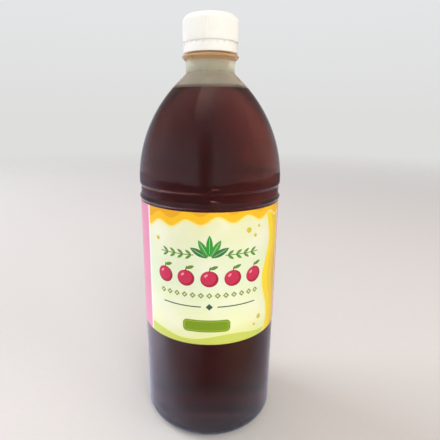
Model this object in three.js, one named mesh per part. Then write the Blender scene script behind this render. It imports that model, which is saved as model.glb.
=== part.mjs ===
// A one-litre vinegar bottle: a clear blown PET bottle with a tall rounded shoulder, filled with dark brown
// vinegar, shut by a white screw cap and dressed with a printed wrap-around label.
// Millimetres, +Z up. The origin is the middle of the base, on the surface that the bottle stands on.
// Every piece but the label is turned about the Z axis, so each of those is a profile of (radius, height) points.
import * as THREE from 'three';

// Flat sides around every turned piece. All pieces share them, so that nested walls stay parallel.
const SIDES = 48;

// Bottle body
const BODY_RADIUS = 41.4;
const WALL = 0.65;
const HEEL_RADIUS = 7.9;
const STANDING_RING_WIDTH = 6.0;
const PUSH_UP = 7.0;

// Bead and groove between the label panel and the shoulder
const BEAD_START = 144.6;
const BEAD_TOP = 146.3;
const BEAD_RADIUS = 42.15;
const GROOVE_START = 148.4;
const GROOVE_END = 152.4;
const GROOVE_RADIUS = 41.3;
const LIP_HEIGHT = 154.6;
const LIP_RADIUS = 41.95;

// Shoulder: one long arc from the lip, a short cone, and a hollow fillet into the neck
const SHOULDER_RADIUS = 77.0;
const SHOULDER_SWEEP = THREE.MathUtils.degToRad(46);
const NECK_FILLET = 3.5;
const NECK_RADIUS = 13.8;

// Neck, support ring and the plain finish that the cap hides
const RING_RADIUS = 15.8;
const RING_UNDERSIDE = 220.8;
const RING_EDGE_LOW = 222.3;
const RING_EDGE_HIGH = 223.7;
const RING_TOP = 224.1;
const FINISH_RADIUS = 12.9;
const BORE_RADIUS = 10.9;

// Screw cap with its tamper band
const TOTAL_HEIGHT = 244.2;
const CAP_BOTTOM = 224.8;
const BAND_RADIUS = 15.05;
const SCORE_LOW = 228.9;
const SCORE_HIGH = 230.4;
const SCORE_RADIUS = 14.75;
const CAP_RADIUS = 15.4;
const CAP_EDGE_RADIUS = 3.5;
const CAP_PLATE = 1.8;
const CAP_BORE_RADIUS = 13.2;

// Label and contents
const LABEL_LOW = 67.2;
const LABEL_HIGH = 144.0;
const LABEL_THICKNESS = 0.25;
const LABEL_GAP = 0.1;
const LABEL_BARE_SIDES = 8;
const VINEGAR_LEVEL = 207.2;
const VINEGAR_GAP = 0.15;
const MOUTH_GAP = 0.1;

// How finely each curved stretch of a profile is cut
const PUSH_UP_STEPS = 4;
const HEEL_STEPS = 5;
const BEAD_STEPS = 3;
const SHOULDER_STEPS = 11;
const FILLET_STEPS = 3;
const CAP_EDGE_STEPS = 5;

const point = (radius, height) => new THREE.Vector2(radius, height);

// Points on a circle about (centreX, centreY), angles in radians from the X direction. In a profile, X is the
// radius and Y the height.
function arc(centreX, centreY, radius, from, to, steps) {
  return Array.from({ length: steps + 1 }, (_, i) => {
    const angle = THREE.MathUtils.lerp(from, to, i / steps);
    return point(centreX + radius * Math.cos(angle), centreY + radius * Math.sin(angle));
  });
}

// A smooth step between two points of the wall, upright at both ends; the first point is left out.
function ease(fromRadius, fromHeight, toRadius, toHeight, steps) {
  return Array.from({ length: steps }, (_, i) => {
    const share = (i + 1) / steps;
    const blend = (1 - Math.cos(Math.PI * share)) / 2;
    return point(
      THREE.MathUtils.lerp(fromRadius, toRadius, blend),
      THREE.MathUtils.lerp(fromHeight, toHeight, share),
    );
  });
}

// The domed base: a shallow spherical push-up inside the flat standing ring, then the rounded heel.
// The first point is put exactly on the axis.
function baseProfile(inset) {
  const ringOuter = BODY_RADIUS - HEEL_RADIUS;
  const ringInner = ringOuter - STANDING_RING_WIDTH;
  const domeRadius = (ringInner ** 2 + PUSH_UP ** 2) / (2 * PUSH_UP);
  const domeCentre = PUSH_UP - domeRadius;
  const domeEdge = Math.asin((inset - domeCentre) / (domeRadius + inset));
  const dome = arc(0, domeCentre, domeRadius + inset, Math.PI / 2, domeEdge, PUSH_UP_STEPS);
  dome[0].x = 0;
  const heel = arc(ringOuter, HEEL_RADIUS, HEEL_RADIUS - inset, -Math.PI / 2, 0, HEEL_STEPS);
  return [...dome, ...heel];
}

// The bead above the label, the shallow groove and the lip where the shoulder starts.
function waistProfile(inset) {
  const body = BODY_RADIUS - inset;
  const bead = BEAD_RADIUS - inset;
  const groove = GROOVE_RADIUS - inset;
  const lip = LIP_RADIUS - inset;
  return [
    point(body, BEAD_START),
    ...ease(body, BEAD_START, bead, BEAD_TOP, BEAD_STEPS),
    ...ease(bead, BEAD_TOP, groove, GROOVE_START, BEAD_STEPS),
    point(groove, GROOVE_END),
    ...ease(groove, GROOVE_END, lip, LIP_HEIGHT, BEAD_STEPS),
  ];
}

// The long shoulder arc; its first point is the lip, which the waist already holds.
function shoulderProfile(inset) {
  const centre = LIP_RADIUS - SHOULDER_RADIUS;
  return arc(centre, LIP_HEIGHT, SHOULDER_RADIUS - inset, 0, SHOULDER_SWEEP, SHOULDER_STEPS).slice(1);
}

// The wall of the body from the middle of the base to the top of the shoulder arc, moved in by the inset.
const bodyProfile = (inset) => [...baseProfile(inset), ...waistProfile(inset), ...shoulderProfile(inset)];

// The height where the cone that goes on from the end of a shoulder profile reaches a radius.
function coneHeight(shoulderEnd, radius) {
  return shoulderEnd.y + (shoulderEnd.x - radius) / Math.tan(SHOULDER_SWEEP);
}

// The fillet's arc turns from the cone's slope to upright about a centre outside the neck.
function neckFillet(shoulderEnd) {
  const centreRadius = NECK_RADIUS + NECK_FILLET;
  const startRadius = centreRadius - NECK_FILLET * Math.cos(SHOULDER_SWEEP);
  const centreHeight = coneHeight(shoulderEnd, startRadius) + NECK_FILLET * Math.sin(SHOULDER_SWEEP);
  return arc(centreRadius, centreHeight, NECK_FILLET, Math.PI + SHOULDER_SWEEP, Math.PI, FILLET_STEPS);
}

function bottleProfile() {
  const outside = bodyProfile(0);
  const inside = bodyProfile(WALL);
  const mouth = TOTAL_HEIGHT - CAP_PLATE - MOUTH_GAP;
  const neck = [
    point(NECK_RADIUS, RING_UNDERSIDE),
    point(RING_RADIUS, RING_EDGE_LOW),
    point(RING_RADIUS, RING_EDGE_HIGH),
    point(FINISH_RADIUS, RING_TOP),
    point(FINISH_RADIUS, mouth),
    point(BORE_RADIUS, mouth),
    point(BORE_RADIUS, coneHeight(inside.at(-1), BORE_RADIUS)),
  ];
  return [...outside, ...neckFillet(outside.at(-1)), ...neck, ...inside.reverse()];
}

// The drink fills the bottle's inside up to its level, a hair clear of the wall.
function vinegarProfile() {
  const wall = bodyProfile(WALL + VINEGAR_GAP);
  const above = wall.findIndex((p) => p.y > VINEGAR_LEVEL);
  const below = wall[above - 1];
  const share = (VINEGAR_LEVEL - below.y) / (wall[above].y - below.y);
  const edge = below.clone().lerp(wall[above], share);
  return [...wall.slice(0, above), edge, point(0, VINEGAR_LEVEL)];
}

// A thin film round the label panel, seen from above. Its two ends leave a strip of the wall bare at the back.
function labelGeometry() {
  const inner = BODY_RADIUS + LABEL_GAP;
  const outer = inner + LABEL_THICKNESS;
  const side = (2 * Math.PI) / SIDES;
  const steps = SIDES - LABEL_BARE_SIDES;
  const start = Math.PI / 2 + (LABEL_BARE_SIDES / 2) * side;
  const end = start + steps * side;
  const outline = [...arc(0, 0, outer, start, end, steps), ...arc(0, 0, inner, end, start, steps)];
  const film = new THREE.ExtrudeGeometry(new THREE.Shape(outline), {
    depth: LABEL_HIGH - LABEL_LOW,
    bevelEnabled: false,
  });
  return film.translate(0, 0, LABEL_LOW);
}

// The cap, from the middle of its ceiling down its inside, and up the band and the skirt to its top.
function capProfile() {
  const ceiling = TOTAL_HEIGHT - CAP_PLATE;
  const edgeCentre = CAP_RADIUS - CAP_EDGE_RADIUS;
  const edgeStart = TOTAL_HEIGHT - CAP_EDGE_RADIUS;
  return [
    point(0, ceiling),
    point(CAP_BORE_RADIUS, ceiling),
    point(CAP_BORE_RADIUS, CAP_BOTTOM),
    point(BAND_RADIUS, CAP_BOTTOM),
    point(BAND_RADIUS, SCORE_LOW),
    point(SCORE_RADIUS, SCORE_LOW),
    point(SCORE_RADIUS, SCORE_HIGH),
    point(CAP_RADIUS, SCORE_HIGH),
    ...arc(edgeCentre, edgeStart, CAP_EDGE_RADIUS, 0, Math.PI / 2, CAP_EDGE_STEPS),
    point(0, TOTAL_HEIGHT),
  ];
}

const turned = (profile) => new THREE.LatheGeometry(profile, SIDES).rotateX(Math.PI / 2);

function piece(name, geometry, finish) {
  const mesh = new THREE.Mesh(geometry, new THREE.MeshStandardMaterial(finish));
  mesh.name = name;
  return mesh;
}

const CLEAR_PET = { color: 0xdfe6e2, roughness: 0.08, metalness: 0, transparent: true, opacity: 0.3 };
const DARK_VINEGAR = { color: 0x3d1a14, roughness: 0.05, metalness: 0 };
const PRINTED_FILM = { color: 0xeef0be, roughness: 0.4, metalness: 0 };
const WHITE_POLYPROPYLENE = { color: 0xf7f6f2, roughness: 0.45, metalness: 0 };

const vinegarBottle = new THREE.Group();
vinegarBottle.add(
  piece('bottle', turned(bottleProfile()), CLEAR_PET),
  piece('vinegar', turned(vinegarProfile()), DARK_VINEGAR),
  piece('label', labelGeometry(), PRINTED_FILM),
  piece('cap', turned(capProfile()), WHITE_POLYPROPYLENE),
);

export default vinegarBottle;
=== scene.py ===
import math

import bmesh
import bpy
from mathutils import Matrix, Vector


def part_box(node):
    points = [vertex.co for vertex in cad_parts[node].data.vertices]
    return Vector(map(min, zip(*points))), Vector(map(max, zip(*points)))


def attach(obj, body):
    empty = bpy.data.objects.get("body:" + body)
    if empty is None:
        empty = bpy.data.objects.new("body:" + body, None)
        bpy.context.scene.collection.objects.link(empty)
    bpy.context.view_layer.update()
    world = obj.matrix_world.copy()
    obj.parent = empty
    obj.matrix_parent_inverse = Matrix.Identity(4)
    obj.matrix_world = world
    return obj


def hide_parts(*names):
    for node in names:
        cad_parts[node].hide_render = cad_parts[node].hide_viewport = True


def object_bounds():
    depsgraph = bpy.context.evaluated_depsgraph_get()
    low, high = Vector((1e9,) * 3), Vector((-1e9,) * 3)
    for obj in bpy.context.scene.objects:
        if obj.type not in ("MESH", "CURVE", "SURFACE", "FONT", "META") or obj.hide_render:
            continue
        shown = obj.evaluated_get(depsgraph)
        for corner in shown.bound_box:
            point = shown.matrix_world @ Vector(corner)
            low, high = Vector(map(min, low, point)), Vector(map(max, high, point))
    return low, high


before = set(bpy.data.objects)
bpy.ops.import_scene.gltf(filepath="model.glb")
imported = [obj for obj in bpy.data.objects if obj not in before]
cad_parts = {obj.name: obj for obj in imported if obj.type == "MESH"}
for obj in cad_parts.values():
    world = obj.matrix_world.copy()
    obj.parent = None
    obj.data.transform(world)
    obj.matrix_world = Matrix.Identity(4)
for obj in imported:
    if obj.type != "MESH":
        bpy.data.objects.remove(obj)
cad_low, cad_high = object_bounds()

# Bottle
# A one-litre bottle blown from clear PET in a two-part mould, with a thin wall, a thick neck and two fine
# parting lines. It stands on a flat ring round its pushed-up base, and the filling line grips it by the
# support ring under the cap. Inside, the wall is wet up to the vinegar's level and misted above it.
MM = 0.001
BODY_RADIUS = 41.4 * MM
WALL = 0.65 * MM
HEEL_RADIUS = 7.9 * MM
STANDING_RING_WIDTH = 6.0 * MM
PUSH_UP = 7.0 * MM
GATE_NUB_RADIUS = 1.3 * MM
GATE_NUB_HEIGHT = 0.9 * MM
BEAD_START = 144.6 * MM
BEAD_TOP = 146.3 * MM
BEAD_RADIUS = 42.15 * MM
GROOVE_START = 148.4 * MM
GROOVE_END = 152.4 * MM
GROOVE_RADIUS = 41.3 * MM
LIP_HEIGHT = 154.6 * MM
LIP_RADIUS = 41.95 * MM
SHOULDER_RADIUS = 77.0 * MM
SHOULDER_SWEEP = math.radians(46)
NECK_FILLET = 1.4 * MM
NECK_INNER_FILLET = 9.0 * MM
NECK_RADIUS = 13.8 * MM
RING_RADIUS = 15.8 * MM
RING_UNDERSIDE = 220.8 * MM
RING_EDGE_LOW = 222.3 * MM
RING_EDGE_HIGH = 223.7 * MM
RING_EDGE_ROUND = 0.45 * MM
RING_TOP = 224.1 * MM
FINISH_RADIUS = 12.9 * MM
BORE_RADIUS = 10.9 * MM
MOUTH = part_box("bottle")[1].z
VINEGAR_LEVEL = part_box("vinegar")[1].z
PARTING_LINE_HEIGHT = 0.07 * MM
PARTING_LINE_WIDTH = 0.45 * MM
PARTING_ANGLES = (math.radians(-97.7), math.radians(82.3))
BOTTLE_SIDES = 180
DOME_STEPS = 14
HEEL_STEPS = 14
WAIST_STEPS = 8
SHOULDER_STEPS = 40
FILLET_STEPS = 12
RING_ROUND_STEPS = 4
SHARP_EDGE = math.radians(40)


def arc(centre_radius, centre_height, radius, start, end, steps):
    """Profile points on a circle, with angles in radians from the outward direction."""
    angles = [start + (end - start) * i / steps for i in range(steps + 1)]
    return [(centre_radius + radius * math.cos(a), centre_height + radius * math.sin(a)) for a in angles]


def ease(start, end, steps):
    """A smooth step between two profile points, upright at both ends; the first point is left out."""
    points = []
    for i in range(1, steps + 1):
        share = i / steps
        blend = (1 - math.cos(math.pi * share)) / 2
        points.append((start[0] + (end[0] - start[0]) * blend, start[1] + (end[1] - start[1]) * share))
    return points


def body_profile(inset):
    """The wall from the middle of the base to the top of the shoulder arc, moved in by the inset."""
    ring_outer = BODY_RADIUS - HEEL_RADIUS
    ring_inner = ring_outer - STANDING_RING_WIDTH
    dome = (ring_inner**2 + PUSH_UP**2) / (2 * PUSH_UP)
    dome_centre = PUSH_UP - dome
    dome_edge = math.asin((inset - dome_centre) / (dome + inset))
    body, bead = BODY_RADIUS - inset, BEAD_RADIUS - inset
    groove, lip = GROOVE_RADIUS - inset, LIP_RADIUS - inset
    push_up = arc(0, dome_centre, dome + inset, math.pi / 2, dome_edge, DOME_STEPS)
    push_up[0] = (0.0, PUSH_UP + inset)
    shoulder_centre = LIP_RADIUS - SHOULDER_RADIUS
    shoulder = arc(shoulder_centre, LIP_HEIGHT, SHOULDER_RADIUS - inset, 0, SHOULDER_SWEEP, SHOULDER_STEPS)
    return [
        *push_up,
        *arc(ring_outer, HEEL_RADIUS, HEEL_RADIUS - inset, -math.pi / 2, 0, HEEL_STEPS),
        (body, BEAD_START),
        *ease((body, BEAD_START), (bead, BEAD_TOP), WAIST_STEPS),
        *ease((bead, BEAD_TOP), (groove, GROOVE_START), WAIST_STEPS),
        (groove, GROOVE_END),
        *ease((groove, GROOVE_END), (lip, LIP_HEIGHT), WAIST_STEPS),
        *shoulder[1:],
    ]


def neck_fillet(shoulder_end, neck, radius):
    """The hollow arc that turns from the cone above the shoulder arc to the neck's upright wall."""
    centre = neck + radius
    start = centre - radius * math.cos(SHOULDER_SWEEP)
    start_height = shoulder_end[1] + (shoulder_end[0] - start) / math.tan(SHOULDER_SWEEP)
    centre_height = start_height + radius * math.sin(SHOULDER_SWEEP)
    return arc(centre, centre_height, radius, math.pi + SHOULDER_SWEEP, math.pi, FILLET_STEPS)


def bottle_profile():
    """Outside from the gate nub under the base up, over the mouth, and down the inside to the base."""
    outside, inside = body_profile(0), body_profile(WALL)
    nub = PUSH_UP - GATE_NUB_HEIGHT
    ring_centre = RING_RADIUS - RING_EDGE_ROUND
    ring_low, ring_high = RING_EDGE_LOW + RING_EDGE_ROUND, RING_EDGE_HIGH - RING_EDGE_ROUND
    return [
        (0.0, nub),
        (GATE_NUB_RADIUS, nub),
        *outside[1:],
        *neck_fillet(outside[-1], NECK_RADIUS, NECK_FILLET),
        (NECK_RADIUS, RING_UNDERSIDE),
        *arc(ring_centre, ring_low, RING_EDGE_ROUND, -math.pi / 3, 0, RING_ROUND_STEPS),
        *arc(ring_centre, ring_high, RING_EDGE_ROUND, 0, math.pi / 2.4, RING_ROUND_STEPS),
        (FINISH_RADIUS, RING_TOP),
        (FINISH_RADIUS, MOUTH),
        (BORE_RADIUS, MOUTH),
        *reversed(neck_fillet(inside[-1], BORE_RADIUS, NECK_INNER_FILLET)),
        *reversed(inside),
    ]


def finished(name, mesh):
    """The object of a finished mesh: faces outwards, smooth but for its sharp edges."""
    bmesh.ops.recalc_face_normals(mesh, faces=mesh.faces)
    data = bpy.data.meshes.new(name)
    mesh.to_mesh(data)
    mesh.free()
    data.shade_smooth()
    data.set_sharp_from_angle(angle=SHARP_EDGE)
    piece = bpy.data.objects.new(name, data)
    bpy.context.scene.collection.objects.link(piece)
    return piece


def turned(name, profile, angles, swell=None, finish=None):
    """A mesh object of a (radius, height) profile turned about Z, which starts and ends on the axis or closes
    on itself. swell gives how far a point stands out from its radius, by its angle, radius and height, and
    finish the material's number for a stretch between two points."""
    mesh = bmesh.new()
    rings = []
    for radius, height in profile:
        if radius == 0:
            rings.append([mesh.verts.new((0, 0, height))] * len(angles))
            continue
        ring = []
        for angle in angles:
            out = radius + (swell(angle, radius, height) if swell else 0)
            ring.append(mesh.verts.new((out * math.cos(angle), out * math.sin(angle), height)))
        rings.append(ring)
    pairs = list(zip(rings, rings[1:]))
    if profile[0][0] > 0:
        pairs.append((rings[-1], rings[0]))
    for stretch, (low, high) in enumerate(pairs):
        for i in range(len(angles)):
            j = (i + 1) % len(angles)
            corners = dict.fromkeys((low[i], low[j], high[j], high[i]))
            mesh.faces.new(corners).material_index = finish(stretch) if finish else 0
    return finished(name, mesh)


def even_angles(sides):
    return [2 * math.pi * i / sides for i in range(sides)]


def linear(code):
    """An sRGB hex colour as linear red, green, blue and alpha."""
    parts = [int(code[i : i + 2], 16) / 255 for i in (1, 3, 5)]
    return tuple(c / 12.92 if c <= 0.04045 else ((c + 0.055) / 1.055) ** 2.4 for c in parts) + (1.0,)


def add(tree, kind, inputs=None, **settings):
    """A new node with its settings, and its inputs by name or number: a socket is linked, a value is set."""
    node = tree.nodes.new(kind)
    for name, value in settings.items():
        setattr(node, name, value)
    for key, value in (inputs or {}).items():
        if isinstance(value, bpy.types.NodeSocket):
            tree.links.new(value, node.inputs[key])
        else:
            node.inputs[key].default_value = value
    return node


def new_material(name):
    """An empty material's node tree, its Principled shader and its output."""
    material = bpy.data.materials.new(name)
    material.use_nodes = True
    tree = material.node_tree
    return material, tree, tree.nodes["Principled BSDF"], tree.nodes["Material Output"]


def ink(tree, under, colour, mask, inside=1.0):
    """A colour laid over another where both masks are 1."""
    both = add(tree, "ShaderNodeMath", {0: mask, 1: inside}, operation="MULTIPLY")
    mix = add(tree, "ShaderNodeMix", {0: both.outputs[0], 6: under, 7: linear(colour)}, data_type="RGBA")
    return mix.outputs[2]


def blown_pet(name, tint, roughness, mirror, clearness):
    # PET, stretch-blown: glass-clear with a faint smoky tint and a high index. The wall cools against the
    # mould a little unevenly, so that reflections waver over a centimetre or two.
    RIPPLE_SIZE = 24 * MM
    RIPPLE_HEIGHT = 0.12 * MM
    material, tree, shader, _ = new_material(name)
    shader.inputs["Base Color"].default_value = linear(tint)
    shader.inputs["Roughness"].default_value = roughness
    shader.inputs["IOR"].default_value = 1.575
    shader.inputs["Specular Tint"].default_value = (mirror, mirror, mirror, 1)
    shader.inputs["Transmission Weight"].default_value = clearness
    place = add(tree, "ShaderNodeTexCoord")
    ripple = add(
        tree,
        "ShaderNodeTexNoise",
        {"Vector": place.outputs["Object"], "Scale": 1 / RIPPLE_SIZE, "Detail": 1.0},
    )
    bump = add(tree, "ShaderNodeBump", {"Height": ripple.outputs["Fac"], "Distance": RIPPLE_HEIGHT})
    tree.links.new(bump.outputs["Normal"], shader.inputs["Normal"])
    return material


def misted_pet():
    # The same PET with fine drops inside, which blur and whiten it. Its colour is painted darker low down,
    # just over the vinegar's level, as painted shade, and lighter up in the neck; the drops are no thicker
    # there.
    SHADE_BELOW, NO_SHADE_ABOVE = 212.5 * MM, 216.0 * MM
    material = blown_pet("clear PET, misted inside", "#f2f6e6", 0.3, 0.6, 0.35)
    tree = material.node_tree
    place = add(tree, "ShaderNodeTexCoord").outputs["Object"]
    height = add(tree, "ShaderNodeSeparateXYZ", {0: place}).outputs["Z"]
    rise = {"Value": height, "From Min": SHADE_BELOW, "From Max": NO_SHADE_ABOVE}
    thick = add(tree, "ShaderNodeMapRange", rise, interpolation_type="SMOOTHSTEP").outputs[0]
    # Painted shade: thick is the share of the neck's lighter colour, and below it the darker colour is shade.
    paint = ink(tree, linear("#e0d8c4"), "#f2f6e6", thick)
    tree.links.new(paint, tree.nodes["Principled BSDF"].inputs["Base Color"])
    return material


# The mould's two halves meet near the front and the back, so extra columns there carry the raised line.
line_step = PARTING_LINE_WIDTH / BODY_RADIUS / 2
bottle_angles = sorted(
    {round(a, 6) for a in even_angles(BOTTLE_SIDES)}
    | {round((p + k * line_step) % (2 * math.pi), 6) for p in PARTING_ANGLES for k in range(-2, 3)}
)
profile = bottle_profile()
ring_start = profile.index((NECK_RADIUS, RING_UNDERSIDE))
bore_start = profile.index((BORE_RADIUS, MOUTH))


def parting_line(angle, radius, height):
    """The raised line's height on the outside of the body; the inside and the neck's finish have none."""
    outside = HEEL_RADIUS < height < RING_UNDERSIDE and radius > BORE_RADIUS + WALL
    off = min(abs(math.remainder(angle - p, 2 * math.pi)) for p in PARTING_ANGLES)
    return PARTING_LINE_HEIGHT if outside and off < line_step / 2 else 0.0


def pet_finish(stretch):
    """A stretch's material: 0 outside, 1 ring and thread wall, 2 misted inside, 3 wet inside."""
    if stretch < ring_start:
        return 0
    if stretch < bore_start:
        return 1
    return 2 if profile[stretch][1] > VINEGAR_LEVEL else 3


bottle = turned("pet_bottle", profile, bottle_angles, parting_line, pet_finish)
# Where PET meets vinegar it hardly mirrors.
bottle.data.materials.append(blown_pet("clear blown PET", "#f0eee8", 0.07, 1.0, 1.0))
# The ring's amber tint is painted light: the amber that light through the vinegar carries up into the ring.
bottle.data.materials.append(blown_pet("clear PET, thick and unstretched", "#ffd09a", 0.15, 1.0, 0.68))
bottle.data.materials.append(misted_pet())
bottle.data.materials.append(blown_pet("clear blown PET, wetted", "#f0eee8", 0.15, 0.1, 1.0))
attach(bottle, "root")
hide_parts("bottle")

# Vinegar
# One litre of dark brown vinegar, filled to just under the neck. Its surface creeps a little up the wall.
# It reaches a hair into the wall, because the drink wets the plastic and no air lies between them.
WETTING = 0.3 * MM
MENISCUS_HEIGHT = 0.5 * MM
MENISCUS_REACH = 0.9 * MM
SURFACE_STEPS = 12


def vinegar_profile():
    """The wetted wall up to the edge of the surface, then the surface in to the axis."""
    wall = body_profile(WALL - WETTING)
    edge_height = VINEGAR_LEVEL + MENISCUS_HEIGHT
    below = [p for p in wall if p[1] < edge_height]
    above = wall[len(below)]
    share = (edge_height - below[-1][1]) / (above[1] - below[-1][1])
    edge = below[-1][0] + (above[0] - below[-1][0]) * share
    surface = []
    for i in range(SURFACE_STEPS + 1):
        inward = edge * (i / SURFACE_STEPS) ** 2
        rise = MENISCUS_HEIGHT * math.exp(-inward / MENISCUS_REACH)
        surface.append((edge - inward, VINEGAR_LEVEL + rise))
    surface[-1] = (0.0, VINEGAR_LEVEL)
    return [*below, *surface]


def dark_vinegar():
    # Fermented fruit vinegar: clear, thin as water, but so strongly brown that a hand's breadth lets through
    # only a little deep red. The colour is all in the depth, so it is a volume's absorption and not paint.
    material, tree, shader, output = new_material("dark brown vinegar")
    shader.inputs["Base Color"].default_value = linear("#ffffff")
    shader.inputs["Roughness"].default_value = 0.0
    shader.inputs["IOR"].default_value = 1.34
    shader.inputs["Specular Tint"].default_value = (0, 0, 0, 1)
    shader.inputs["Transmission Weight"].default_value = 1.0
    brown = {"Color": linear("#c57c63"), "Density": 80.0}
    depth = add(tree, "ShaderNodeVolumeAbsorption", brown)
    tree.links.new(depth.outputs["Volume"], output.inputs["Volume"])
    return material


vinegar = turned("vinegar_fill", vinegar_profile(), even_angles(BOTTLE_SIDES))
vinegar.data.materials.append(dark_vinegar())
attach(vinegar, "root")
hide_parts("vinegar")

# Label
# A printed film label, glued round the bottle's straight wall. Its two cut ends leave a bare strip at the
# back and curl up a hair. The print is fields of cream, lime, amber and pink with plain fruit and leaves.
label_low, label_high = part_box("label")
LABEL_BOTTOM, LABEL_TOP = label_low.z, label_high.z
LABEL_BARE = math.radians(60)
LABEL_LIFT = 0.03 * MM
FILM = 0.12 * MM
END_CURL = 0.35 * MM
CURL_LENGTH = 5.0 * MM
LABEL_COLUMNS = 240
FRONT_ANGLE = -math.pi / 2
label_radius = BODY_RADIUS + LABEL_LIFT
label_sweep = 2 * math.pi - LABEL_BARE
label_length = label_radius * label_sweep


def label_strip():
    """A thin closed strip from one cut end to the other, with its own map, 0 to 1 along and up."""
    mesh = bmesh.new()
    print_map = mesh.loops.layers.uv.new("print")
    columns = []
    for i in range(LABEL_COLUMNS + 1):
        angle = FRONT_ANGLE + label_sweep * (i / LABEL_COLUMNS - 0.5)
        from_end = label_length * min(i, LABEL_COLUMNS - i) / LABEL_COLUMNS
        inner = label_radius + END_CURL * max(0.0, 1 - from_end / CURL_LENGTH) ** 2
        outer = inner + FILM
        corners = [(outer, LABEL_BOTTOM), (outer, LABEL_TOP), (inner, LABEL_TOP), (inner, LABEL_BOTTOM)]
        columns.append([mesh.verts.new((r * math.cos(angle), r * math.sin(angle), z)) for r, z in corners])
    for i, (start, end) in enumerate(zip(columns, columns[1:])):
        for k in range(4):
            after = (k + 1) % 4
            face = mesh.faces.new((start[k], end[k], end[after], start[after]))
            face.material_index = 0 if k == 0 else 1
            ups = [0 if corner in (0, 3) else 1 for corner in (k, k, after, after)]
            for loop, step, up in zip(face.loops, (i, i + 1, i + 1, i), ups):
                loop[print_map].uv = (step / LABEL_COLUMNS, up)
    for cut_end in (columns[0], columns[-1]):
        mesh.faces.new(cut_end).material_index = 1
    return finished("label_wrap", mesh)


def ellipse(tree, place, centre, size, turn=0.0):
    """1 inside an ellipse of the print and 0 outside; the size is its half width and half height."""
    local = add(
        tree,
        "ShaderNodeMapping",
        {"Vector": place, "Location": (*centre, 0), "Rotation": (0, 0, turn), "Scale": (*size, 1)},
        vector_type="TEXTURE",
    )
    away = add(tree, "ShaderNodeVectorMath", {0: local.outputs[0]}, operation="LENGTH")
    return add(tree, "ShaderNodeMath", {0: away.outputs["Value"], 1: 1.0}, operation="LESS_THAN").outputs[0]


def leaf(tree, place, centre, size, turn):
    """1 inside a pointed leaf, the overlap of two circles; the size is its half length and half width."""
    half_length, half_width = size
    bow = (half_length**2 + half_width**2) / (2 * half_width)
    local = add(
        tree,
        "ShaderNodeMapping",
        {"Vector": place, "Location": (*centre, 0), "Rotation": (0, 0, turn)},
        vector_type="TEXTURE",
    )
    folded = add(tree, "ShaderNodeVectorMath", {0: local.outputs[0]}, operation="ABSOLUTE")
    shifted = add(
        tree,
        "ShaderNodeVectorMath",
        {0: folded.outputs[0], 1: (0, bow - half_width, 0)},
        operation="ADD",
    )
    away = add(tree, "ShaderNodeVectorMath", {0: shifted.outputs[0]}, operation="LENGTH")
    return add(tree, "ShaderNodeMath", {0: away.outputs["Value"], 1: bow}, operation="LESS_THAN").outputs[0]


def rounded_bar(tree, place, centre, size, corner):
    """1 inside a bar with rounded corners; the size is its half width and half height."""
    moved = add(tree, "ShaderNodeVectorMath", {0: place, 1: (*centre, 0)}, operation="SUBTRACT")
    folded = add(tree, "ShaderNodeVectorMath", {0: moved.outputs[0]}, operation="ABSOLUTE")
    core = (size[0] - corner, size[1] - corner, 0)
    beyond = add(tree, "ShaderNodeVectorMath", {0: folded.outputs[0], 1: core}, operation="SUBTRACT")
    outside = add(tree, "ShaderNodeVectorMath", {0: beyond.outputs[0], 1: (0, 0, 0)}, operation="MAXIMUM")
    away = add(tree, "ShaderNodeVectorMath", {0: outside.outputs[0]}, operation="LENGTH")
    near = add(tree, "ShaderNodeMath", {0: away.outputs["Value"], 1: corner}, operation="LESS_THAN")
    return near.outputs[0]


def lozenge(tree, place, centre, reach):
    """1 inside a lozenge that reaches equally far along and up."""
    moved = add(tree, "ShaderNodeVectorMath", {0: place, 1: (*centre, 0)}, operation="SUBTRACT")
    folded = add(tree, "ShaderNodeVectorMath", {0: moved.outputs[0]}, operation="ABSOLUTE")
    away = add(tree, "ShaderNodeVectorMath", {0: folded.outputs[0], 1: (1, 1, 0)}, operation="DOT_PRODUCT")
    near = add(tree, "ShaderNodeMath", {0: away.outputs["Value"], 1: reach}, operation="LESS_THAN")
    return near.outputs[0]


def past_wave(tree, across, along, level, height, length):
    """How far a point lies past a wavy line, in millimetres."""
    phase = add(tree, "ShaderNodeMath", {0: along, 1: 2 * math.pi / length}, operation="MULTIPLY")
    swing = add(tree, "ShaderNodeMath", {0: phase.outputs[0]}, operation="SINE")
    line = add(tree, "ShaderNodeMath", {0: swing.outputs[0], 1: height, 2: level}, operation="MULTIPLY_ADD")
    return add(tree, "ShaderNodeMath", {0: across, 1: line.outputs[0]}, operation="SUBTRACT").outputs[0]


def within(tree, value, middle, half):
    """1 where a value is at most half away from the middle."""
    return add(tree, "ShaderNodeMath", {0: value, 1: middle, 2: half}, operation="COMPARE").outputs[0]


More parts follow.
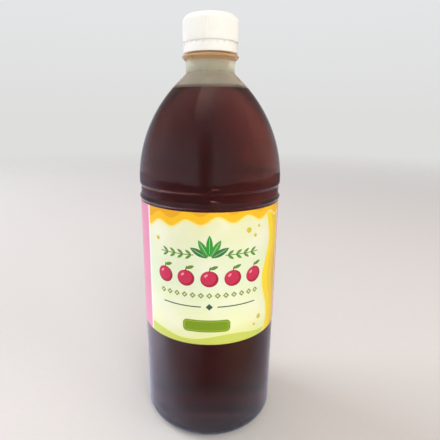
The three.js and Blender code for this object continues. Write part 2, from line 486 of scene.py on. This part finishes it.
def printed_fields(tree, place, along, across):
    """The large fields: cream ground, lime foot, amber top edge, gold right side and pink end panels."""
    share = add(tree, "ShaderNodeMapRange", {"Value": across, "From Max": PRINT_HEIGHT})
    ground = add(tree, "ShaderNodeValToRGB", {"Fac": share.outputs[0]})
    stops = ((0.0, "#e2ea92"), (0.16, "#f3fac5"), (0.5, "#e6f4d2"), (0.8, "#ebf1c8"), (1.0, "#ebedb3"))
    ramp = ground.color_ramp.elements
    for spot, colour in stops[1:-1]:
        ramp.new(spot).color = linear(colour)
    ramp[0].color = linear(stops[0][1])
    ramp[-1].color = linear(stops[-1][1])
    cloud = add(tree, "ShaderNodeTexNoise", {"Vector": place, "Scale": 1 / CLOUD_SIZE, "Detail": 2.0})
    haze = add(
        tree,
        "ShaderNodeMapRange",
        {"Value": cloud.outputs["Fac"], "From Min": 0.45, "From Max": 0.7, "To Max": 0.6},
    )
    paint = ink(tree, ground.outputs["Color"], "#fbfbea", haze.outputs[0])
    foot = past_wave(tree, across, along, 4.5, 1.5, 50.0)
    for reach, colour in ((1.2, "#eef3a4"), (0.0, "#cfdc62")):
        below = add(tree, "ShaderNodeMath", {0: foot, 1: reach}, operation="LESS_THAN")
        paint = ink(tree, paint, colour, below.outputs[0])
    mirrored = add(tree, "ShaderNodeMath", {0: along, 1: -1.0}, operation="MULTIPLY").outputs[0]
    right = past_wave(tree, along, across, 36.5, 3.0, 47.0)
    for reach, colour in ((-1.2, "#fdf0a0"), (0.0, "#fee20a"), (5.0, "#f9d21a"), (11.0, "#ecc22e")):
        beyond = add(tree, "ShaderNodeMath", {0: right, 1: reach}, operation="GREATER_THAN")
        paint = ink(tree, paint, colour, beyond.outputs[0])
    deeper = add(
        tree,
        "ShaderNodeMapRange",
        {"Value": along, "From Min": -56.0, "From Max": 4.0, "To Min": 6.5, "To Max": 0.0},
    )
    lowered = add(tree, "ShaderNodeMath", {0: across, 1: deeper.outputs[0]}, operation="ADD")
    top = past_wave(tree, lowered.outputs[0], along, 73.0, 1.7, 17.0)
    for reach, colour in ((-1.3, "#fbe98a"), (0.0, "#fcc503"), (4.2, "#f2ad06")):
        beyond = add(tree, "ShaderNodeMath", {0: top, 1: reach}, operation="GREATER_THAN")
        paint = ink(tree, paint, colour, beyond.outputs[0])
    left_end = add(tree, "ShaderNodeMath", {0: mirrored, 1: -LEFT_PANEL}, operation="SUBTRACT").outputs[0]
    right_end = add(tree, "ShaderNodeMath", {0: along, 1: RIGHT_PANEL}, operation="SUBTRACT").outputs[0]
    for edge, colour in ((left_end, "#ec96b4"), (right_end, "#e98d8b")):
        for reach, shade in ((-WHITE_LINE, "#fdfdf6"), (0.0, colour)):
            beyond = add(tree, "ShaderNodeMath", {0: edge, 1: reach}, operation="GREATER_THAN")
            paint = ink(tree, paint, shade, beyond.outputs[0])
    return paint


def printed_end_boxes(tree, paint, place):
    """A pale box with thin rules on each end panel."""
    limits = {0: place, 1: (200, RULE_SPACING, 1), 2: (-200, 0, -1)}
    row = add(tree, "ShaderNodeVectorMath", limits, operation="WRAP")
    ends = ((LEFT_PANEL - LEFT_MARGIN, -PRINT_LENGTH / 2), (RIGHT_PANEL, PRINT_LENGTH / 2))
    for panel_start, label_end in ends:
        middle = (panel_start + label_end) / 2
        half = abs(label_end - panel_start) / 2 - 6.5
        box = rounded_bar(tree, place, (middle, PRINT_HEIGHT / 2), (half, 31.0), 3.5)
        paint = ink(tree, paint, "#fbf6e4", box)
        rules = rounded_bar(tree, row.outputs[0], (middle, RULE_SPACING / 2), (half - 4, 0.3), 0.28)
        ruled = rounded_bar(tree, place, (middle, PRINT_HEIGHT / 2), (half - 3, 27.0), 1.0)
        paint = ink(tree, paint, "#b98d7c", rules, ruled)
    return paint


def printed_leaves(tree, paint, place):
    """A fan of five leaves with pale ribs, between two rows of small leaves on a stalk."""
    FAN_FOOT = (0.0, 51.5)
    greens = ("#2f7d46", "#3aa33c", "#14a02c", "#3aa33c", "#2f7d46")
    for k, green in enumerate(greens):
        turn = math.radians(150 - 30 * k)
        reach = 7.2 if k == 2 else 6.6
        middle = FAN_FOOT[0] + reach * math.cos(turn), FAN_FOOT[1] + reach * math.sin(turn)
        paint = ink(tree, paint, green, leaf(tree, place, middle, (reach - 1.2, 1.75), turn))
        paint = ink(tree, paint, "#b9dd9a", ellipse(tree, place, middle, (reach - 2.4, 0.16), turn))
    folded = add(tree, "ShaderNodeVectorMath", {0: place}, operation="ABSOLUTE").outputs[0]
    limits = {0: folded, 1: (4.6, 200, 1), 2: (0, 0, -1)}
    row = add(tree, "ShaderNodeVectorMath", limits, operation="WRAP")
    sprig = rounded_bar(tree, folded, (19.0, 53.5), (9.2, 6.0), 0.5)
    for lean in (35, -35):
        turn = math.radians(lean)
        middle = 2.3, 53.5 + math.copysign(1.3, lean)
        paint = ink(tree, paint, "#5d9a34", leaf(tree, row.outputs[0], middle, (2.1, 0.75), turn), sprig)
    return ink(tree, paint, "#4c7a2c", rounded_bar(tree, folded, (18.5, 53.5), (10.0, 0.22), 0.2))


def printed_fruit(tree, paint, place):
    """A row of five round fruits, each with its shaded side, its shine, a stalk and a leaf."""
    SPACING, LEVEL, RADIUS = 13.0, 40.0, 4.9
    half = SPACING / 2
    limits = {0: place, 1: (half, 200, 1), 2: (-half, 0, -1)}
    row = add(tree, "ShaderNodeVectorMath", limits, operation="WRAP")
    one = row.outputs[0]
    five = rounded_bar(tree, place, (0.0, LEVEL), (2.5 * SPACING, 12.0), 0.5)
    paint = ink(tree, paint, "#639524", leaf(tree, one, (2.4, LEVEL + 6.4), (2.5, 0.95), 0.35), five)
    paint = ink(tree, paint, "#6a4a26", ellipse(tree, one, (0.2, LEVEL + 5.4), (0.32, 1.7), -0.2), five)
    paint = ink(tree, paint, "#a8173f", ellipse(tree, one, (0.0, LEVEL), (RADIUS, RADIUS * 0.95)), five)
    paint = ink(tree, paint, "#d02a52", ellipse(tree, one, (-0.6, LEVEL + 0.5), (4.15, 3.95)), five)
    return ink(tree, paint, "#f2a0b4", ellipse(tree, one, (-1.9, LEVEL + 1.9), (1.15, 0.6), 0.7), five)


def printed_small_ornaments(tree, paint, place, aside):
    """Lozenges, a rule with a diamond, a plain green bar, and a few golden drops."""
    half = 2.3
    limits = {0: place, 1: (half, 200, 1), 2: (-half, 0, -1)}
    row = add(tree, "ShaderNodeVectorMath", limits, operation="WRAP")
    span = within(tree, aside, 0.0, 13 * half)
    paint = ink(tree, paint, "#8c9c44", lozenge(tree, row.outputs[0], (0.0, 30.2), 1.75), span)
    paint = ink(tree, paint, "#f0f2c4", lozenge(tree, row.outputs[0], (0.0, 30.2), 0.7), span)
    folded = add(tree, "ShaderNodeVectorMath", {0: place}, operation="ABSOLUTE").outputs[0]
    paint = ink(tree, paint, "#2f5d50", rounded_bar(tree, folded, (16.0, 23.4), (11.5, 0.34), 0.3))
    paint = ink(tree, paint, "#2f5d50", lozenge(tree, place, (0.0, 23.4), 2.0))
    paint = ink(tree, paint, "#7b9f09", rounded_bar(tree, place, (-1.5, 11.6), (13.5, 3.75), 2.6))
    paint = ink(tree, paint, "#a9c53c", rounded_bar(tree, place, (-1.5, 11.6), (12.7, 2.95), 1.9))
    paint = ink(tree, paint, "#7b9f09", rounded_bar(tree, place, (-1.5, 11.6), (12.4, 2.65), 1.6))
    upper_drops = ((22, 66, 1.5), (26.5, 62.5, 1.0), (29, 67.5, 0.8), (-31, 60, 1.2))
    lower_drops = ((31.5, 12, 1.5), (28, 8, 0.9))
    for x, y, size in upper_drops + lower_drops:
        paint = ink(tree, paint, "#d9c62c", ellipse(tree, place, (x, y), (size, size)))
    return paint


PRINT_LENGTH = label_length / MM
PRINT_HEIGHT = (LABEL_TOP - LABEL_BOTTOM) / MM
CLOUD_SIZE = 26.0
INK_GRAIN = 0.7
LEFT_PANEL, RIGHT_PANEL = -40.0, 52.0
LEFT_MARGIN = 12.0
RULE_SPACING = 4.2
WHITE_LINE = 1.3


def printed_film():
    # Polypropylene film, printed and laminated: flat inks under a smooth, soft gloss. The print is drawn in
    # millimetres from the middle of its foot. The ink's grain is drawn coarser than real, so that it shows.
    material, tree, shader, _ = new_material("printed polypropylene film")
    shader.inputs["IOR"].default_value = 1.49
    uv = add(tree, "ShaderNodeUVMap", uv_map="print")
    place = add(
        tree,
        "ShaderNodeVectorMath",
        {0: uv.outputs[0], 1: (PRINT_LENGTH, PRINT_HEIGHT, 0), 2: (-PRINT_LENGTH / 2, 0, 0)},
        operation="MULTIPLY_ADD",
    ).outputs[0]
    parts = add(tree, "ShaderNodeSeparateXYZ", {0: place})
    along, across = parts.outputs["X"], parts.outputs["Y"]
    aside = add(tree, "ShaderNodeMath", {0: along}, operation="ABSOLUTE").outputs[0]
    paint = printed_fields(tree, place, along, across)
    paint = printed_end_boxes(tree, paint, place)
    paint = printed_leaves(tree, paint, place)
    paint = printed_fruit(tree, paint, place)
    paint = printed_small_ornaments(tree, paint, place, aside)
    grain = add(tree, "ShaderNodeTexNoise", {"Vector": place, "Scale": 1 / INK_GRAIN, "Detail": 1.0})
    speck = add(tree, "ShaderNodeMapRange", {"Value": grain.outputs["Fac"], "From Min": 0.5, "To Max": 0.1})
    paint = ink(tree, paint, "#fffff4", speck.outputs[0])
    tree.links.new(paint, shader.inputs["Base Color"])
    smear = add(tree, "ShaderNodeTexNoise", {"Vector": place, "Scale": 1 / CLOUD_SIZE, "Detail": 4.0})
    sheen = {"Value": smear.outputs["Fac"], "To Min": 0.26, "To Max": 0.46}
    gloss = add(tree, "ShaderNodeMapRange", sheen)
    tree.links.new(gloss.outputs[0], shader.inputs["Roughness"])
    bump = add(tree, "ShaderNodeBump", {"Height": smear.outputs["Fac"], "Distance": 0.05 * MM})
    tree.links.new(bump.outputs["Normal"], shader.inputs["Normal"])
    return material


def white_film():
    # The same film's unprinted side and cut edges: white all through, with a faintly uneven glue side.
    material, tree, shader, _ = new_material("white polypropylene film")
    place = add(tree, "ShaderNodeTexCoord").outputs["Object"]
    glue = add(tree, "ShaderNodeTexNoise", {"Vector": place, "Scale": 1 / (CLOUD_SIZE * MM)})
    paint = ink(tree, linear("#f4f3ee"), "#e9e7dc", glue.outputs["Fac"])
    tree.links.new(paint, shader.inputs["Base Color"])
    shader.inputs["Roughness"].default_value = 0.5
    return material


label = label_strip()
label.data.materials.append(printed_film())
label.data.materials.append(white_film())
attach(label, "root")
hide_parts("label")

# Cap
# A white screw cap moulded from polypropylene: fine grip ribs, a rounded top edge, and a tamper band that
# hangs under the skirt on thin bridges. It screws down over the mouth and hides the thread.
CAP_BOTTOM, CAP_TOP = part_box("cap")[0].z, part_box("cap")[1].z
CAP_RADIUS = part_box("cap")[1].x
BAND_RADIUS = 15.05 * MM
BAND_CHAMFER = 0.25 * MM
SCORE_LOW = 228.9 * MM
SCORE_HIGH = 230.4 * MM
SCORE_RADIUS = 14.75 * MM
CAP_EDGE_RADIUS = 3.5 * MM
CAP_PLATE = 1.8 * MM
CAP_BORE_RADIUS = 13.2 * MM
CAP_DISH_RADIUS = 9.2 * MM
CAP_DISH_DEPTH = 0.2 * MM
GATE_DIMPLE_RADIUS = 1.6 * MM
RIB_COUNT = 120
RIB_DEPTH = 0.16 * MM
RIB_FADE = 0.7 * MM
COLUMNS_PER_RIB = 8
SKIRT_STEPS = 16
CAP_EDGE_STEPS = 14
BRIDGE_COUNT = 24
BRIDGE_SIZE = Vector((0.5 * MM, 0.8 * MM, SCORE_HIGH - SCORE_LOW + 0.2 * MM))
skirt_radius = CAP_RADIUS - RIB_DEPTH
edge_start = CAP_TOP - CAP_EDGE_RADIUS


def cap_profile():
    """From the middle of the ceiling down the inside, up the band and the bare skirt to the dished top."""
    ceiling = CAP_TOP - CAP_PLATE
    skirt = [SCORE_HIGH + (edge_start - SCORE_HIGH) * i / SKIRT_STEPS for i in range(SKIRT_STEPS)]
    dish = CAP_TOP - CAP_DISH_DEPTH
    dimple = dish - CAP_DISH_DEPTH
    edge_centre = skirt_radius - CAP_EDGE_RADIUS
    return [
        (0.0, ceiling),
        (CAP_BORE_RADIUS, ceiling),
        (CAP_BORE_RADIUS, CAP_BOTTOM),
        (BAND_RADIUS - BAND_CHAMFER, CAP_BOTTOM),
        (BAND_RADIUS, CAP_BOTTOM + BAND_CHAMFER),
        (BAND_RADIUS, SCORE_LOW - BAND_CHAMFER / 2),
        (BAND_RADIUS - BAND_CHAMFER / 2, SCORE_LOW),
        (SCORE_RADIUS, SCORE_LOW),
        (SCORE_RADIUS, SCORE_HIGH),
        *[(skirt_radius, height) for height in skirt],
        *arc(edge_centre, edge_start, CAP_EDGE_RADIUS, 0, math.pi / 2, CAP_EDGE_STEPS),
        (CAP_DISH_RADIUS + CAP_DISH_DEPTH, CAP_TOP),
        (CAP_DISH_RADIUS, dish),
        (GATE_DIMPLE_RADIUS + CAP_DISH_DEPTH, dish),
        (GATE_DIMPLE_RADIUS, dimple),
        (0.0, dimple),
    ]


def white_polypropylene():
    # Polypropylene, injection moulded with white pigment: satin and slightly waxy, so that light spreads a
    # little under the skin. Faint flow marks a few millimetres wide, and a grain drawn coarser than real.
    FLOW_SIZE = 7 * MM
    GRAIN_SIZE = 0.5 * MM
    material, tree, shader, _ = new_material("white moulded polypropylene")
    shader.inputs["IOR"].default_value = 1.49
    shader.inputs["Subsurface Weight"].default_value = 0.5
    shader.inputs["Subsurface Radius"].default_value = (1.0, 0.85, 0.7)
    shader.inputs["Subsurface Scale"].default_value = 1.2 * MM
    place = add(tree, "ShaderNodeTexCoord").outputs["Object"]
    flow = add(tree, "ShaderNodeTexNoise", {"Vector": place, "Scale": 1 / FLOW_SIZE, "Detail": 3.0})
    paint = ink(tree, linear("#fefdf4"), "#faf9ee", flow.outputs["Fac"])
    tree.links.new(paint, shader.inputs["Base Color"])
    grain = add(tree, "ShaderNodeTexNoise", {"Vector": place, "Scale": 1 / GRAIN_SIZE, "Detail": 2.0})
    satin = add(tree, "ShaderNodeMapRange", {"Value": grain.outputs["Fac"], "To Min": 0.34, "To Max": 0.54})
    tree.links.new(satin.outputs[0], shader.inputs["Roughness"])
    bump = add(tree, "ShaderNodeBump", {"Height": grain.outputs["Fac"], "Distance": 0.02 * MM})
    tree.links.new(bump.outputs["Normal"], shader.inputs["Normal"])
    return material


def cap_ribs(material):
    """A Geometry Nodes tree that raises ribs on the bare skirt and sets bridges in the slit over the band,
    with the values of its named inputs by their identifiers."""
    tree = bpy.data.node_groups.new("cap_ribs", "GeometryNodeTree")
    tree.interface.new_socket("Cap", in_out="INPUT", socket_type="NodeSocketGeometry")
    sizes = {
        "Rib count": RIB_COUNT,
        "Rib depth": RIB_DEPTH,
        "Rib fade": RIB_FADE,
        "Rib bottom": SCORE_HIGH,
        "Rib top": edge_start + CAP_EDGE_RADIUS * 0.4,
        "Bare inside radius": SCORE_RADIUS,
        "Bridge count": BRIDGE_COUNT,
        "Bridge height": (SCORE_LOW + SCORE_HIGH) / 2,
    }
    values = {}
    for name, size in sizes.items():
        kind = "NodeSocketInt" if isinstance(size, int) else "NodeSocketFloat"
        values[tree.interface.new_socket(name, in_out="INPUT", socket_type=kind).identifier] = size
    tree.interface.new_socket("Cap", in_out="OUTPUT", socket_type="NodeSocketGeometry")
    given = add(tree, "NodeGroupInput").outputs
    spot = add(tree, "GeometryNodeInputPosition").outputs[0]
    parts = add(tree, "ShaderNodeSeparateXYZ", {0: spot}).outputs
    flat = add(tree, "ShaderNodeVectorMath", {0: spot, 1: (1, 1, 0)}, operation="MULTIPLY").outputs[0]
    outward = add(tree, "ShaderNodeVectorMath", {0: flat}, operation="NORMALIZE").outputs[0]
    radius = add(tree, "ShaderNodeVectorMath", {0: flat}, operation="LENGTH").outputs["Value"]
    angle = add(tree, "ShaderNodeMath", {0: parts["Y"], 1: parts["X"]}, operation="ARCTAN2").outputs[0]
    turns = add(tree, "ShaderNodeMath", {0: angle, 1: given["Rib count"]}, operation="MULTIPLY").outputs[0]
    swing = add(tree, "ShaderNodeMath", {0: turns}, operation="COSINE").outputs[0]
    ridge = add(tree, "ShaderNodeMapRange", {"Value": swing, "From Min": -0.9, "From Max": 0.7}).outputs[0]
    fade = given["Rib fade"]
    low = add(tree, "ShaderNodeMath", {0: given["Rib bottom"], 1: fade}, operation="ADD").outputs[0]
    high = add(tree, "ShaderNodeMath", {0: given["Rib top"], 1: fade}, operation="SUBTRACT").outputs[0]
    rise = {"Value": parts["Z"], "From Min": given["Rib bottom"], "From Max": low}
    fall = {"Value": parts["Z"], "From Min": given["Rib top"], "From Max": high}
    raised = ridge
    for ends in (rise, fall):
        share = add(tree, "ShaderNodeMapRange", ends, interpolation_type="SMOOTHSTEP").outputs[0]
        raised = add(tree, "ShaderNodeMath", {0: raised, 1: share}, operation="MULTIPLY").outputs[0]
    bare = given["Bare inside radius"]
    outer = add(tree, "ShaderNodeMath", {0: radius, 1: bare}, operation="GREATER_THAN")
    raised = add(tree, "ShaderNodeMath", {0: raised, 1: outer.outputs[0]}, operation="MULTIPLY").outputs[0]
    depth = add(tree, "ShaderNodeMath", {0: raised, 1: given["Rib depth"]}, operation="MULTIPLY").outputs[0]
    push = add(tree, "ShaderNodeVectorMath", {0: outward, "Scale": depth}, operation="SCALE").outputs[0]
    ribbed = add(tree, "GeometryNodeSetPosition", {"Geometry": given["Cap"], "Offset": push}).outputs[0]
    circle = add(
        tree,
        "GeometryNodeMeshCircle",
        {"Vertices": given["Bridge count"], "Radius": bare},
    ).outputs[0]
    lift = add(tree, "ShaderNodeCombineXYZ", {"Z": given["Bridge height"]}).outputs[0]
    placed = add(tree, "GeometryNodeTransform", {"Geometry": circle, "Translation": lift}).outputs[0]
    facing = add(tree, "FunctionNodeAlignRotationToVector", {"Vector": flat}, axis="X").outputs[0]
    bridge = add(tree, "GeometryNodeMeshCube", {"Size": BRIDGE_SIZE}).outputs[0]
    bridges = add(
        tree,
        "GeometryNodeInstanceOnPoints",
        {"Points": placed, "Instance": bridge, "Rotation": facing},
    ).outputs[0]
    both = add(tree, "GeometryNodeJoinGeometry")
    for geometry in (ribbed, bridges):
        tree.links.new(geometry, both.inputs[0])
    real = add(tree, "GeometryNodeRealizeInstances", {"Geometry": both.outputs[0]}).outputs[0]
    done = add(tree, "GeometryNodeSetMaterial", {"Geometry": real, "Material": material}).outputs[0]
    add(tree, "NodeGroupOutput", {0: done})
    return tree, values


cap = turned("screw_cap", cap_profile(), even_angles(RIB_COUNT * COLUMNS_PER_RIB))
rib_tree, rib_values = cap_ribs(white_polypropylene())
modifier = cap.modifiers.new("ribs", "NODES")
modifier.node_group = rib_tree
for identifier, value in rib_values.items():
    modifier[identifier] = value
ribbed_mesh = bpy.data.meshes.new_from_object(cap.evaluated_get(bpy.context.evaluated_depsgraph_get()))
cap.modifiers.remove(modifier)
cap.data = ribbed_mesh
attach(cap, "root")
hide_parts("cap")

# Stage
# A pale floor that fades into a pale backdrop, four soft panels, and flat cards that give the bottle
# something to mirror or to show through its vinegar. The camera stands where the photograph was taken,
# close and a little above the shoulder, and is rolled by a hair.
FLOOR_RADIUS = 2.0
floor_mesh = bmesh.new()
bmesh.ops.create_circle(floor_mesh, cap_ends=True, segments=96, radius=FLOOR_RADIUS)
floor_data = bpy.data.meshes.new("floor")
floor_mesh.to_mesh(floor_data)
floor_mesh.free()
floor = bpy.data.objects.new("floor", floor_data)
bpy.context.scene.collection.objects.link(floor)


def matt_floor():
    # Matt painted board with a faint roller texture. It fades away towards its rim, so no horizon shows.
    ROLLER_SIZE = 4 * MM
    material, tree, shader, _ = new_material("matt pale floor")
    place = add(tree, "ShaderNodeTexCoord").outputs["Object"]
    roller = add(tree, "ShaderNodeTexNoise", {"Vector": place, "Scale": 1 / ROLLER_SIZE, "Detail": 2.0})
    paint = ink(tree, linear("#dad8d3"), "#d6d4cf", roller.outputs["Fac"])
    tree.links.new(paint, shader.inputs["Base Color"])
    shader.inputs["Roughness"].default_value = 0.8
    away = add(tree, "ShaderNodeVectorMath", {0: place}, operation="LENGTH").outputs["Value"]
    reach = {"Value": away, "From Min": FLOOR_RADIUS, "From Max": FLOOR_RADIUS * 0.15}
    fade = add(tree, "ShaderNodeMapRange", reach, interpolation_type="SMOOTHSTEP").outputs[0]
    tree.links.new(fade, shader.inputs["Alpha"])
    return material


floor_data.materials.append(matt_floor())

# The room has three looks: walls that surfaces mirror, a brighter one that clear pieces show, and a plain
# backdrop for the camera. A dark doorway at the front leaves its band on the shoulder, and a bright
# opening at the back lights the vinegar from behind.
DOORWAY_OFF = 0.12
OPENING_WAY = (0, 0.85, 0.53)
MIST_GLOW = 4.4
world = bpy.data.worlds.new("pale room")
world.use_nodes = True
room = world.node_tree
way = add(room, "ShaderNodeTexCoord").outputs["Generated"]
parts = add(room, "ShaderNodeSeparateXYZ", {0: way}).outputs
across = {"Value": parts["X"], "From Min": -0.9, "From Max": 0.9}
side = add(room, "ShaderNodeMapRange", across).outputs[0]
walls = ink(room, linear("#b8bac8"), "#a8a2a0", side)
high = {"Value": parts["Z"], "From Min": 0.3, "From Max": 0.65}
upper = add(room, "ShaderNodeMapRange", high).outputs[0]
walls = ink(room, walls, "#a09ca4", upper)
rear = {"Value": parts["Y"], "From Min": 0.1, "From Max": 0.5}
back = add(room, "ShaderNodeMapRange", rear).outputs[0]
raised = {"Value": parts["Z"], "From Min": 0.05, "From Max": 0.35}
steep = add(room, "ShaderNodeMapRange", raised).outputs[0]
walls = ink(room, walls, "#987c7c", back, steep)
off = add(room, "ShaderNodeMath", {0: parts["X"], 1: DOORWAY_OFF}, operation="ADD").outputs[0]
off = add(room, "ShaderNodeMath", {0: off}, operation="ABSOLUTE").outputs[0]
doorway = 1.0
for ends in (
    {"Value": off, "From Min": 0.3, "From Max": 0.05},
    {"Value": parts["Y"], "From Min": -0.3, "From Max": -0.7},
    {"Value": parts["Z"], "From Min": 0.85, "From Max": 0.4},
):
    share = add(room, "ShaderNodeMapRange", ends, interpolation_type="SMOOTHSTEP").outputs[0]
    doorway = add(room, "ShaderNodeMath", {0: share, 1: doorway}, operation="MULTIPLY").outputs[0]
walls = ink(room, walls, "#6a6872", doorway)
low = {"Value": parts["Z"], "From Min": 0.0, "From Max": 0.3}
upward = add(room, "ShaderNodeMapRange", low).outputs[0]
backdrop = ink(room, linear("#dededd"), "#e6e7e9", upward)
toward = add(room, "ShaderNodeVectorMath", {0: way, 1: OPENING_WAY}, operation="DOT_PRODUCT")
reach = {"Value": toward.outputs["Value"], "From Min": 0.4, "From Max": 0.9}
opening = add(room, "ShaderNodeMapRange", reach, interpolation_type="SMOOTHSTEP").outputs[0]
through = ink(room, linear("#dfe4ea"), "#fff4e8", side)
above = {"Value": parts["Z"], "From Min": 0.3, "From Max": 0.8}
top = add(room, "ShaderNodeMapRange", above).outputs[0]
through = ink(room, through, "#5c5a58", top)
before = {"Value": parts["Y"], "From Min": -0.3, "From Max": -0.8}
front = add(room, "ShaderNodeMapRange", before).outputs[0]
through = ink(room, through, "#8c8a86", front)
through = ink(room, through, "#eeeff2", opening)
# The mist inside is lit by what comes in through the wall, so that light is raised where it ends on the mist.
ray = add(room, "ShaderNodeLightPath").outputs
brighter = {"Value": ray["Diffuse Depth"], "To Min": 1.0, "To Max": MIST_GLOW}
glow = add(room, "ShaderNodeMapRange", brighter).outputs[0]
through = add(room, "ShaderNodeVectorMath", {0: through, "Scale": glow}, operation="SCALE").outputs[0]
seen = {0: ray["Is Transmission Ray"], 6: walls, 7: through}
sky = add(room, "ShaderNodeMix", seen, data_type="RGBA").outputs[2]
seen = {0: ray["Is Camera Ray"], 6: sky, 7: backdrop}
sky = add(room, "ShaderNodeMix", seen, data_type="RGBA").outputs[2]
room.links.new(sky, room.nodes["Background"].inputs["Color"])
bpy.context.scene.world = world


def panel(name, place, target, size, watts, colour):
    """A soft rectangular light that faces its target. Nothing mirrors it and no clear piece shows it."""
    light = bpy.data.lights.new(name, "AREA")
    light.shape = "RECTANGLE"
    light.size, light.size_y = size
    light.energy = watts
    light.color = linear(colour)[:3]
    lamp = bpy.data.objects.new(name, light)
    lamp.location = place
    lamp.rotation_euler = (target - lamp.location).to_track_quat("-Z", "Y").to_euler()
    lamp.visible_camera = False
    lamp.visible_glossy = False
    lamp.visible_transmission = False
    bpy.context.scene.collection.objects.link(lamp)


def card(name, corners, colour, glow, fade, start, turn, length, mirrored=True):
    """A flat card that shows only as a reflection, or only through clear pieces. It glows or stays dark, and
    fades from clear at its start to full along a turned line, or from a rim to its start as a round."""
    data = bpy.data.meshes.new(name)
    data.from_pydata(corners, [], [range(len(corners))])
    board = bpy.data.objects.new(name, data)
    bpy.context.scene.collection.objects.link(board)
    paint, tree, shader, _ = new_material(name)
    shader.inputs["Base Color"].default_value = linear(colour)
    shader.inputs["Specular IOR Level"].default_value = 0.0
    shader.inputs["Emission Color"].default_value = linear(colour)
    shader.inputs["Emission Strength"].default_value = glow
    local = add(
        tree,
        "ShaderNodeMapping",
        {
            "Vector": add(tree, "ShaderNodeTexCoord").outputs["Object"],
            "Location": start,
            "Rotation": (0, 0, turn),
            "Scale": (length, length, 1000),
        },
        vector_type="TEXTURE",
    )
    ramp = add(tree, "ShaderNodeTexGradient", {0: local.outputs[0]}, gradient_type=fade)
    tree.links.new(ramp.outputs["Fac"], shader.inputs["Alpha"])
    data.materials.append(paint)
    board.visible_camera = False
    board.visible_diffuse = False
    board.visible_glossy = mirrored
    board.visible_transmission = not mirrored
    board.visible_shadow = False


def level_quad(west, east, south, north, height):
    return [(west, south, height), (east, south, height), (east, north, height), (west, north, height)]


middle = (cad_low + cad_high) / 2
panel("front_softbox", Vector((0.25, -1.55, 1.4)), middle, (1.4, 1.0), 22.5, "#fffdf4")
panel("window_left", Vector((-1.6, 0.5, 1.0)), middle, (1.2, 1.2), 28.0, "#edf1fd")
panel("fill_right", Vector((1.5, -0.8, 0.8)), middle, (1.0, 1.0), 8.0, "#fff6ea")
panel("overhead", Vector((0, 0.8, 2.4)), Vector((0, 0.8, 0)), (4.0, 4.0), 22.0, "#fffdf8")
# The floor in front is mirrored by the waist and the lower body, and cards paint what it shows there as
# painted reflections: dark far out, warm near the middle, violet on the left and tan on the right. Glowing
# cool cards round the bottle are painted light, dusky dark cards far out at both sides are painted shade, and
# a glowing warm card behind it on the left, seen only through the vinegar, is painted light.
FRONT_EDGE = -0.039
FORWARD = -math.pi / 2
LEFTWARD = math.pi
CEILING = 1.2
card(
    "ceiling_glow",
    [(-0.08, 0.25, CEILING), (-0.66, -0.75, CEILING), (0.6, -0.75, CEILING), (0.6, 0.25, CEILING)],
    "#fff6ee", 0.4, "SPHERICAL", (-0.2, -0.15, CEILING), 0, 0.62,
)
card(
    "dark_front",
    level_quad(-1.5, 1.5, -1.6, FRONT_EDGE, 0.001),
    "#5e5a64", 0.0, "LINEAR", (0, FRONT_EDGE, 0), FORWARD, 0.15,
)
card(
    "brown_front",
    level_quad(-0.4, 0.4, -0.3, FRONT_EDGE, 0.0012),
    "#9a6468", 0.0, "LINEAR", (0, FRONT_EDGE, 0), FORWARD, 0.05,
)
# Painted light: a glowing cool card round the bottle that only reflections show.
card(
    "cool_glow_card",
    level_quad(-0.3, 0.0, -0.2, 0.15, 0.0005),
    "#ced1ea", 0.9, "SPHERICAL", (-0.15, -0.02, 0), 0, 0.15,
)
card(
    "cool_near",
    level_quad(-0.15, 0.12, -0.12, 0.12, 0.0006),
    "#c6cae6", 0.35, "SPHERICAL", (0.0, -0.01, 0), 0, 0.12,
)
card(
    "violet_left",
    level_quad(-0.2, 0.0, -0.2, -0.02, 0.0014),
    "#c3b2bc", 0.25, "SPHERICAL", (-0.1, -0.11, 0), 0, 0.09,
)
card(
    "tan_right",
    level_quad(0.0, 0.2, -0.2, -0.02, 0.0014),
    "#bf9480", 0.2, "SPHERICAL", (0.1, -0.1, 0), 0, 0.09,
)
card(
    "grey_right",
    level_quad(0.04, 0.3, -0.15, 0.3, 0.0007),
    "#a6a4b2", 0.05, "LINEAR", (0.04, 0, 0), 0, 0.06,
)
card(
    "dusk_left",
    level_quad(-1.8, -0.2, -1.6, 1.2, 0.0008),
    "#8a8292", 0.0, "LINEAR", (-0.2, 0, 0), LEFTWARD, 0.35,
)
card(
    "dusk_right",
    level_quad(0.2, 1.8, -1.6, 1.2, 0.0008),
    "#786a70", 0.0, "LINEAR", (0.2, 0, 0), 0, 0.35,
)
# Painted light: a glowing warm card behind the bottle that shows only through the vinegar.
card(
    "warm_glow_card",
    level_quad(-0.9, 0.0, 0.2, 0.8, 0.0009),
    "#fffaf2", 0.5, "LINEAR", (0, 0, 0), LEFTWARD, 0.15, False,
)
# An upright strip out in front leaves two small warm glints on the waist.
card(
    "warm_glint",
    [(0.028, -0.742, 0.019), (0.23, -0.742, 0.019), (0.23, -0.742, 0.044), (0.028, -0.742, 0.044)],
    "#ffae97", 4.0, "LINEAR", (0.23, 0, 0), LEFTWARD, 0.2,
)

CAMERA_DISTANCE = 230.9 * MM
CAMERA_HEIGHT = 192.5 * MM
CAMERA_PITCH = math.radians(15.43)
FOCAL_PIXELS = 382.8
IMAGE_SIZE = 440
AXIS_COLUMN = 209.7
CAMERA_ROLL = math.radians(0.3)
lens = bpy.data.cameras.new("camera")
lens.lens = lens.sensor_width * FOCAL_PIXELS / IMAGE_SIZE
lens.shift_x = 0.5 - AXIS_COLUMN / IMAGE_SIZE
lens.clip_start = 0.01
camera = bpy.data.objects.new("camera", lens)
camera.location = (0, -CAMERA_DISTANCE, CAMERA_HEIGHT)
tilt = Matrix.Rotation(math.pi / 2 - CAMERA_PITCH, 3, "X") @ Matrix.Rotation(CAMERA_ROLL, 3, "Z")
camera.rotation_euler = tilt.to_euler()
bpy.context.scene.collection.objects.link(camera)
bpy.context.scene.camera = camera
bpy.context.scene.view_settings.view_transform = "Standard"
